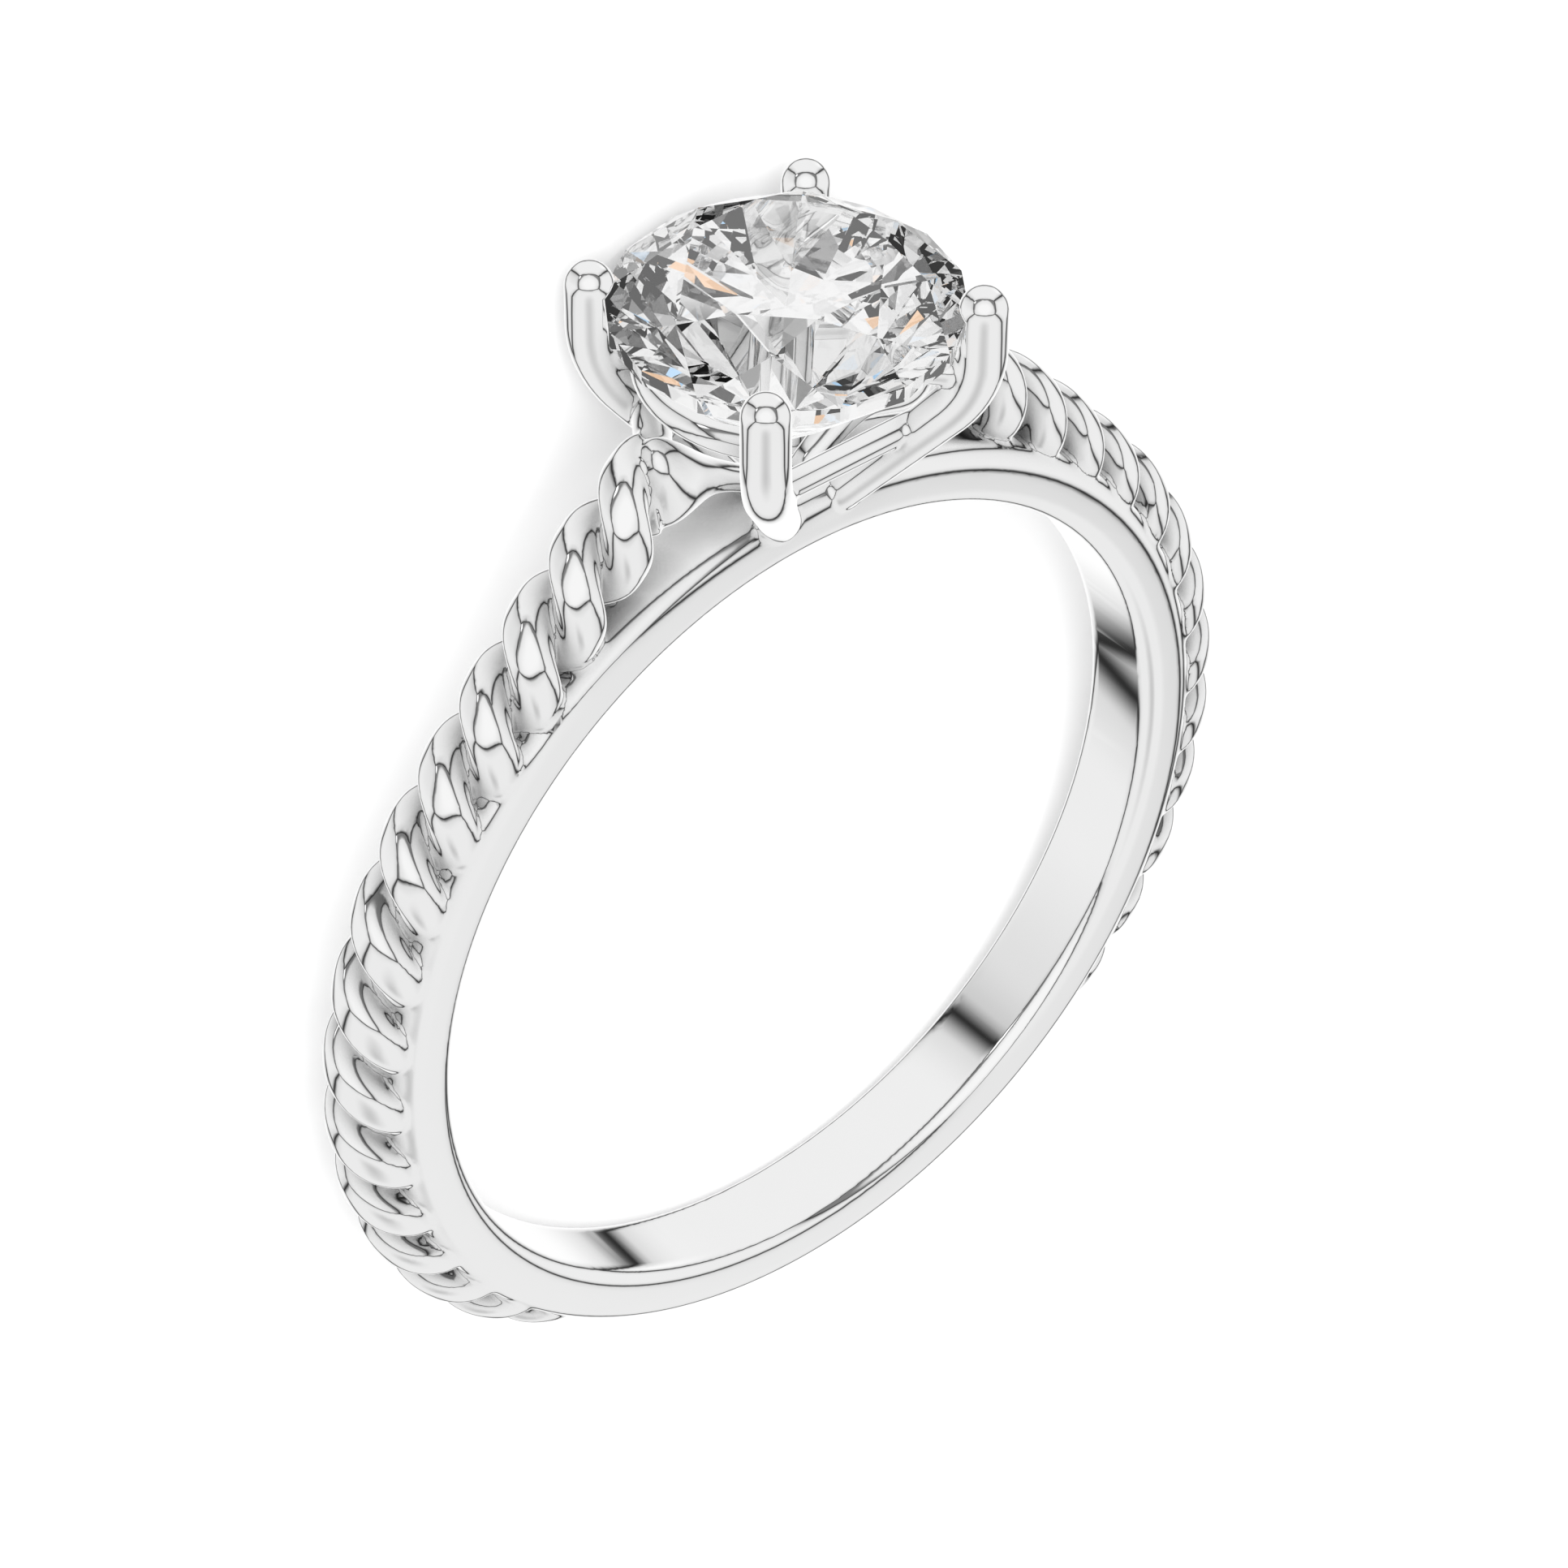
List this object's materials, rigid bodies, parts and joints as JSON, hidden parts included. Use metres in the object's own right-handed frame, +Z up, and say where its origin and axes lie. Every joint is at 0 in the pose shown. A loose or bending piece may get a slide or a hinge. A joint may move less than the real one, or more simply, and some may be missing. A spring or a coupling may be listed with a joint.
{
  "type": "solitaire engagement ring",
  "caption": "White metal solitaire ring with twisted rope shoulders and a round faceted stone held in claw prongs.",
  "frame": {"origin": "on the ground under the middle of the ring's bounding box, with the ring lying on its side", "axes": "+Y from the bottom of the band towards the head and stone, +X across the two shoulders, +Z up, nearly along the finger"},
  "size_m": [0.0212, 0.0242, 0.0065],
  "materials": {
    "ring_metal": "mirror-polished white gold",
    "round_stone": "clear faceted stone"
  },
  "bodies": {
    "root": {"ring_metal": "ring_metal", "round_stone": "round_stone"}
  },
  "joints": []
}
